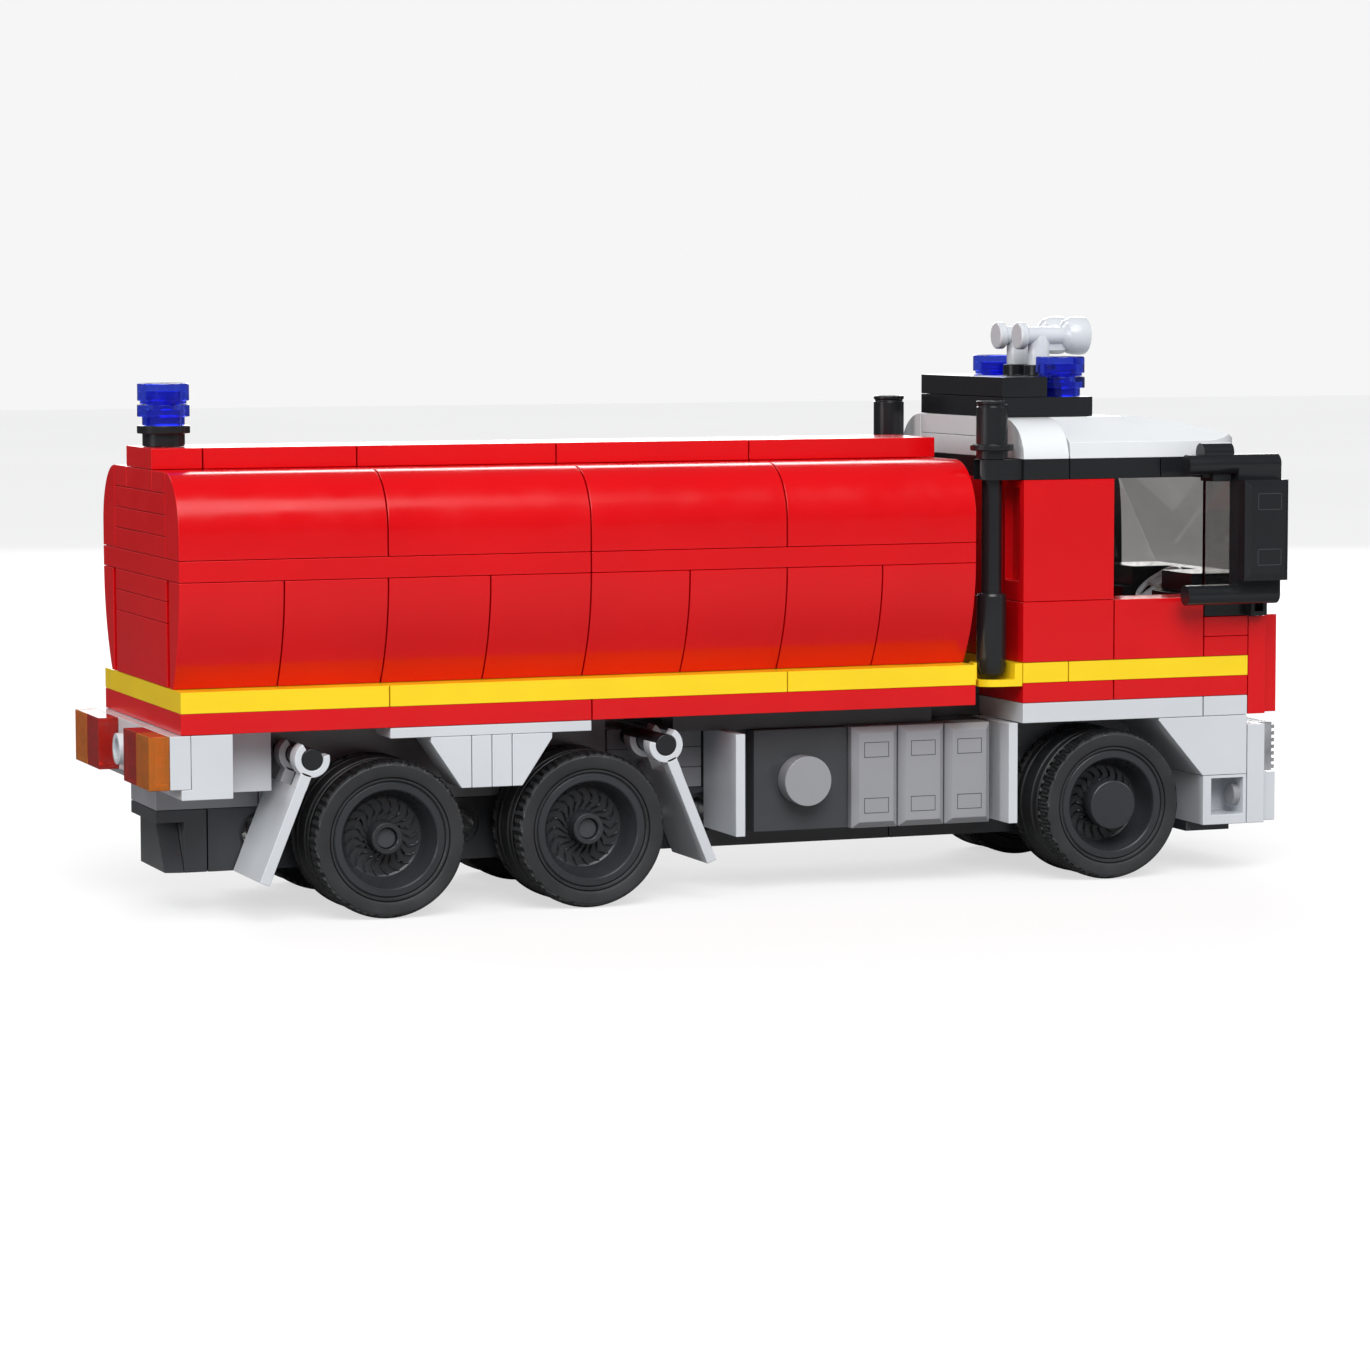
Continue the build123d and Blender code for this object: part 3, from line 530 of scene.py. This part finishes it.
def ribs(bm, hub):
    """Curved ribs on the dish's floor."""
    made = bmesh.ops.create_grid(bm, x_segments=1, y_segments=1, size=0.5)["verts"]
    place = Matrix.Translation(hub + Vector((RIB_START, DISH - 0.1, 0)))
    upright = Matrix.Rotation(math.pi / 2, 4, "Y") @ Matrix.Diagonal((RIB_WIDE, RIB_TALL, 1, 1))
    bmesh.ops.transform(bm, matrix=place @ upright, verts=made)
    grown = list(made)
    front = list(made[0].link_faces)
    for turn in RIB_TURNS:
        out = bmesh.ops.extrude_face_region(bm, geom=front)["geom"]
        points = points_of(out)
        front = [f for f in out if isinstance(f, bmesh.types.BMFace)]
        middle = sum((v.co for v in points), Vector()) / len(points) - hub
        step = Vector((middle.x, 0, middle.z)).normalized() * RIB_STEP
        bmesh.ops.translate(bm, vec=step, verts=points)
        bend = Matrix.Rotation(math.radians(turn), 3, "Y")
        bmesh.ops.rotate(bm, cent=hub, matrix=bend, verts=points)
        grown.extend(points)
    edges = dict.fromkeys(e for v in grown for e in v.link_edges)
    faces = dict.fromkeys(f for v in grown for f in v.link_faces)
    bmesh.ops.spin(
        bm, geom=[*grown, *edges, *faces], cent=hub, axis=AXIS["y"], steps=RIBS - 1,
        angle=math.tau * (RIBS - 1) / RIBS, use_duplicate=True, use_merge=False,
    )


for end, axle in AXLES.items():
    bm = bmesh.new()
    hub = Vector((axle.x, -FACE, axle.z))
    ribs(bm, hub)
    spun(bm, RIM, hub, steps=72, loop=True)
    if end == "front":
        spun(bm, CAP, hub)
    both_sides(bm)
    # The rims wear the darker rim finish, whose colour is painted shade.
    piece(
        bm, f"rim_pair_{end}", "dark_grey_plastic", f"wheels_{end}", [f"rims_{end}"],
        edge=0, finish=shaded_rim_plastic.material,
    )

# %% [markdown]
# The tail lamps are square clear caps, hollow behind, each with a short tube inside that a stud would
# fill. Each is a block whose face towards the truck is inset and extruded inwards, which leaves even
# walls. The old face stays as a thin wall across the mouth, hidden against the housing.

# %% Tail lamps
LAMP_WALL, LAMP_FLOOR = 0.9, 1.0
LAMP_TUBE = [(0.9, 0.5), (1.5, 0.5), (1.5, 1.9), (0.9, 1.9)]


def lamp_cap(bm, low, high):
    """A clear cap that is hollow on the side towards the truck."""
    faces = block(bm, low, high)
    mouth = max(faces, key=lambda f: f.calc_center_median().x)
    bmesh.ops.inset_region(bm, faces=[mouth], thickness=LAMP_WALL, depth=0)
    inner = points_of(bmesh.ops.extrude_face_region(bm, geom=[mouth])["geom"])
    bmesh.ops.translate(bm, vec=(low.x - high.x + LAMP_FLOOR, 0, 0), verts=inner)
    hub = (low + high) / 2
    hub.x = low.x + 0.6
    spun(bm, LAMP_TUBE, hub, axis="x", steps=24, loop=True)


for node, inner_studs in (("tail_lamps_orange", 2), ("tail_lamps_red", 1)):
    low, high = limits(node)
    high.y = -inner_studs * STUD - 0.1
    bm = bmesh.new()
    lamp_cap(bm, low, high)
    both_sides(bm)
    name = node.replace("tail_lamps", "clear_caps")
    piece(bm, name, SLOT[node], "truck", [node], edge=0.15)

# %% [markdown]
# Each flashing light is a clear round plate with a flange above its narrow foot, and a round tile on
# top. They are thin shells in the real toy, so the outline that is spun goes up the outside and back
# down the inside.

# %% Blue lights
LIGHT_PLATE = [
    (0, 3.4), (1.6, 3.4), (1.6, 2.3), (2.5, 2.3), (2.5, 0), (3.2, 0), (3.2, 1.3), (3.95, 1.3),
    (3.95, 3.1), (2.4, 3.1), (2.4, 4.3), (0, 4.3),
]
LIGHT_TILE = [
    (0, 2.0), (2.6, 2.0), (2.6, 0), (3.5, 0), (3.5, 0.5), (3.9, 0.5), (3.9, 3.0),
    (3.9 - 0.15, 3.12), (0, 3.12),
]
low, high = limits("blue_lights")
light_x = JOINT["cannon_right_turn"].x
roof_top = limits("roof_plates")[0].z + PLATE
beacon = sum(limits("beacon_base"), Vector()) / 2
beacon.z = limits("beacon_base")[1].z + 0.06
bm = bmesh.new()
roof_lights = [Vector((light_x, y, roof_top)) for y in (low.y + STUD / 2, high.y - STUD / 2)]
for foot in (*roof_lights, beacon):
    spun(bm, LIGHT_PLATE, foot, axis="z")
    spun(bm, LIGHT_TILE, foot + Vector((0, 0, PLATE)), axis="z")
piece(bm, "blue_light_shells", "clear_blue", "truck", ["blue_lights"])

# %% [markdown]
# A mudguard flap is a thin slab that hangs from a bar by open clips. Each clip is a small face spun
# seven tenths of the way round the bar, so its mouth stays open upwards, and a short neck runs from it
# into the slab. The whole flap is built hanging straight down, then swung to its lean about the bar.

# %% Flaps
LEAN = {"rear": 22.2, "front": -22.2}
SLAB_TOP, SLAB_BOTTOM, SLAB_HALF = 4.6, 19.8, 0.8
CLIP_R, CLIP_WALL, CLIP_WIDE, CLIP_MOUTH = 2.2, 1.05, 2.9, 54
CLIP_PLACES = (1.45, 10.2)
NECK_BOTTOM, NECK_HALF = 4.8, 0.85


def clip(bm, bar, y):
    """An open ring round the bar: a face at one lip, spun to the other."""
    made = bmesh.ops.create_grid(bm, x_segments=1, y_segments=1, size=0.5)["verts"]
    top = Matrix.Translation(bar + Vector((0, y - bar.y, CLIP_R)))
    upright = Matrix.Rotation(math.pi / 2, 4, "Y") @ Matrix.Diagonal((CLIP_WALL, CLIP_WIDE, 1, 1))
    bmesh.ops.transform(bm, matrix=top @ upright, verts=made)
    lip = Matrix.Rotation(math.radians(CLIP_MOUTH), 3, "Y")
    bmesh.ops.rotate(bm, cent=bar, matrix=lip, verts=made)
    face = list(made[0].link_faces)
    bmesh.ops.spin(
        bm, geom=face + list(face[0].edges) + made, cent=bar, axis=AXIS["y"],
        angle=math.radians(360 - 2 * CLIP_MOUTH), steps=24, use_merge=False,
    )


def slab(bm, bar, half, width, bottom, top):
    """A block that hangs below the bar."""
    low = (bar.x - half, width[0], bar.z - bottom)
    block(bm, low, (bar.x + half, width[1], bar.z - top))


for end in LEAN:
    for side, sign in (("right", -1), ("left", 1)):
        flap = f"flap_{end}_{side}"
        bar = JOINT[f"{end}_flap_{side}_swing"]
        low, high = limits(flap)
        outer_y = low.y if sign < 0 else high.y
        bm = bmesh.new()
        for inward in CLIP_PLACES:
            y = outer_y - sign * inward
            clip(bm, bar, y)
            slab(bm, bar, NECK_HALF, (y - CLIP_WIDE / 2, y + CLIP_WIDE / 2), NECK_BOTTOM, CLIP_R)
        slab(bm, bar, SLAB_HALF, (low.y, high.y), SLAB_BOTTOM, SLAB_TOP)
        swing = Matrix.Rotation(math.radians(LEAN[end]), 3, "Y")
        bmesh.ops.rotate(bm, cent=bar, matrix=swing, verts=bm.verts)
        piece(bm, f"mud{flap}", "light_grey_plastic", flap, [flap])

# %% [markdown]
# A water cannon is one small moulding: a disc behind, a thin barrel, and a rounded bell at the mouth
# that is hollow in front. The outline runs over the bell and back into its mouth and is spun round the
# barrel's line. A peg and a collar are spun upright, and a thin web joins the peg to the bell.

# %% Water cannons
BELL_R = 3.1
BELL = [
    (0, -3.95), (1.95, -3.95), (2.2, -3.75), (2.2, -2.75), (1.95, -2.5), (1.45, -2.4), (1.45, 3.9),
    (1.9, 4.15), (2.5, 4.6), (2.9, 5.3), (3.08, 6.2), (BELL_R, 7.4), (3.02, 8.0), (2.85, 8.1),
    (2.6, 8.0), (2.3, 7.0), (1.7, 6.2), (1.0, 5.9), (0.9, 4.6), (0, 4.6),
]
for side in ("right", "left"):
    node = f"cannon_{side}"
    low, high = limits(node)
    barrel = JOINT[f"cannon_{side}_turn"].copy()
    barrel.z = high.z - BELL_R
    bm = bmesh.new()
    spun(bm, BELL, barrel, axis="x")
    peg = [
        (0, low.z), (1.6, low.z), (1.6, low.z + 4.2), (1.75, low.z + 4.3), (1.75, barrel.z - 1.2),
        (1.5, barrel.z), (0, barrel.z),
    ]
    spun(bm, peg, Vector((barrel.x, barrel.y, 0)), axis="z", steps=32)
    block(bm, barrel + Vector((1.2, -0.6, -2.4)), barrel + Vector((5.2, 0.6, -1.0)))
    piece(bm, f"water_{node}", SLOT[node], node, [node], edge=0.06)

# %% [markdown]
# The exhausts stand in yellow cups: a fat foot with a rounded bottom, a thin bar held by the clip on
# the cab, and a wide open pipe on top with a collar. One outline spun upright makes all of it, hollow
# mouth included.

# %% Exhausts
FOOT_BOTTOM, COLLAR_R = 3.4, 3.45
STACK = [
    (0, FOOT_BOTTOM), (1.2, 3.7), (2.05, 4.6), (2.35, 5.75), (2.35, 16.9), (2.15, 17.3), (1.6, 17.3),
    (1.6, 38.46), (2.5, 38.46), (2.5, 39.8), (3.3, 39.8), (COLLAR_R, 39.95), (COLLAR_R, 40.65),
    (3.3, 40.8), (2.5, 40.8), (2.5, 46.6), (2.3, 46.75), (2.3, 46.95), (2.5, 47.1), (2.5, 47.5),
    (2.4, 47.6), (1.95, 47.6), (1.9, 43), (0, 43),
]
low, high = limits("exhausts")
foot = Vector(((low.x + high.x) / 2, low.y + COLLAR_R, low.z - FOOT_BOTTOM))
bm = bmesh.new()
spun(bm, STACK, foot, axis="z")
both_sides(bm)
piece(bm, "exhaust_stacks", SLOT["exhausts"], "truck", ["exhausts"], edge=0.06)

# %% [markdown]
# Grilles are flat tiles with ribs. A thin back and a row of bars lying across it make one, because
# that is how the real moulding looks, and the same helper makes the bright ones beside the plate and
# the black one between the red panels.

# %% Grilles
RIB_PITCH, RIB_SHARE, BORDER = 1.06, 0.55, 0.3
GRILLE_SEAMS = ((-12.1, None), (-4.1, -11.9))


def ribbed(bm, low, high):
    """A tile with horizontal ribs on its front face."""
    block(bm, low, (high[0] - 0.7, high[1], high[2]))
    tall = high[2] - low[2]
    count = round((tall - 2 * BORDER) / RIB_PITCH)
    step = (tall - BORDER) / count
    for n in range(count):
        z = low[2] + BORDER + n * step
        block(bm, (high[0] - 0.9, low[1] + 0.35, z), (high[0], high[1] - 0.35, z + step * RIB_SHARE))


low, high = limits("chrome_grilles")
bm = bmesh.new()
for inner_y, outer_y in GRILLE_SEAMS:
    ribbed(bm, (low.x, low.y if outer_y is None else outer_y, low.z), (high.x, inner_y, high.z))
both_sides(bm)
piece(bm, "bright_grilles", "bright_chrome", "truck", ["chrome_grilles"], edge=0.08)
low, high = limits("front_grille")
bm = bmesh.new()
ribbed(bm, low, high)
piece(bm, "black_grille", SLOT["front_grille"], "truck", ["front_grille"], edge=0.08)

# %% [markdown]
# Inside each step's recess the stud of a brick that lies on its side points backwards. It is a short
# disc with a softened rim, spun along the truck.

# %% Studs in the steps
SIDE_STUD = [(0, -1.1), (1.7, -1.1), (1.8, -1.0), (1.8, 0.2), (0, 0.2)]
low, high = limits("cab_steps")
bm = bmesh.new()
spun(bm, SIDE_STUD, Vector((high.x - 0.6, -21.2, low.z + 4.5)), axis="x")
both_sides(bm)
piece(bm, "step_studs", "mid_grey_plastic", "truck", edge=0.05)

# %% [markdown]
# The locker doors and the mirror housings carry thin moulded outlines, two small rectangles on each. A
# frame of four thin bars that stands a few hundredths of a millimetre proud reads as that line, at far
# less cost than cutting it. On the doors the bars are dark grey, which is painted shade along the
# lines.

# %% Moulded outlines, with painted shade on the doors
DOOR_FACE = -19.7
DOORS = 3
DOOR_MARK, MIRROR_MARK = (4.2, 2.4), (4.2, 2.6)


def outline_mark(bm, x, z, y, size, proud, line):
    """A rectangle of thin bars on a face that looks towards -y."""
    (x0, x1), (z0, z1) = (x - size[0] / 2, x + size[0] / 2), (z - size[1] / 2, z + size[1] / 2)
    for low, high in (
        ((x0, z0), (x1, z0 + line)), ((x0, z1 - line), (x1, z1)),
        ((x0, z0), (x0 + line, z1)), ((x1 - line, z0), (x1, z1)),
    ):
        block(bm, (low[0], y - proud, low[1]), (high[0], y + 0.1, high[1]))


low, high = limits("locker_doors")
bm = bmesh.new()
for n in range(DOORS):
    x = high.x + 0.1 - STUD * (n + 0.5)
    for z in (high.z - 3.6, low.z + 3.6):
        outline_mark(bm, x, z, DOOR_FACE, DOOR_MARK, proud=0.03, line=0.09)
both_sides(bm)
# The dark grey of the door bars is painted shade, standing for the shade along the moulded lines.
piece(bm, "door_outlines_painted_shade", "dark_grey_plastic", "truck", edge=0)

low, high = limits("mirrors")
bm = bmesh.new()
for drop in (9.2, 18.0):
    outline_mark(bm, high.x - 3.85, high.z - drop, -high.y, MIRROR_MARK, proud=0.01, line=0.1)
both_sides(bm)
piece(bm, "mirror_marks", "dark_grey_plastic", "truck", edge=0)

# %% [markdown]
# The floor is one large pale sheet, dull and faintly mottled like studio paper. It glows a little
# where the camera sees it, so that it runs into the backdrop without throwing a white haze on the red
# plastic. In the reflections it is bright on the near side and fades away behind the truck, which
# keeps the tail a deep red.

# %% Floor
FLOOR_GLOW, THROUGH_TO_FLOOR = 0.635, 0.6
FADE = {"start": -0.12, "end": 0.10, "low": 0.48, "high": 0.05}
MIX_A, MIX_B, MIX_RESULT = 6, 7, 2
bm = bmesh.new()
bmesh.ops.create_grid(bm, x_segments=1, y_segments=1, size=3)
mesh = bpy.data.meshes.new("floor")
bm.to_mesh(mesh)
bm.free()
floor = bpy.data.objects.new("floor", mesh)
bpy.context.collection.objects.link(floor)
floor.location.z = size_before[0][2]
floor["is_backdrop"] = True
paper = Finish("floor_paper", 0.9, Specular_IOR_Level=0.1)
paper.tint(paper.noise(3.0), (0.34, 0.34, 0.34), (0.36, 0.36, 0.36))
mesh.materials.append(paper.material)

tree, shader = paper.tree, paper.shader
shader.inputs["Emission Color"].default_value = (1, 1, 1, 1)
glow = tree.nodes.new("ShaderNodeMath")
glow.operation = "MULTIPLY"
glow.inputs[1].default_value = FLOOR_GLOW
tree.links.new(sight(tree, THROUGH_TO_FLOOR), glow.inputs[0])
tree.links.new(glow.outputs[0], shader.inputs["Emission Strength"])

depth = tree.nodes.new("ShaderNodeSeparateXYZ")
tree.links.new(paper.place, depth.inputs[0])
choice = tree.nodes.new("ShaderNodeMix")
choice.data_type = "RGBA"
tree.links.new(sight(tree), choice.inputs["Factor"])
tree.links.new(paper.spread(depth.outputs["Y"], **FADE), choice.inputs[MIX_A])
tree.links.new(shader.inputs["Base Color"].links[0].from_socket, choice.inputs[MIX_B])
tree.links.new(choice.outputs[MIX_RESULT], shader.inputs["Base Color"])
print("floor at", round(floor.location.z, 4), "m")

# %% [markdown]
# Last, the box of the finished truck is measured again, and how far it has grown past the box of the
# CAD model is printed.

# %% Sizes, and the closing line
size_after = [list(corner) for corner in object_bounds()]
growth = [(b - a) / MM for p, q in zip(size_before, size_after) for a, b in zip(p, q)]
print("grown by", [round(g, 2) for g in growth], "mm")
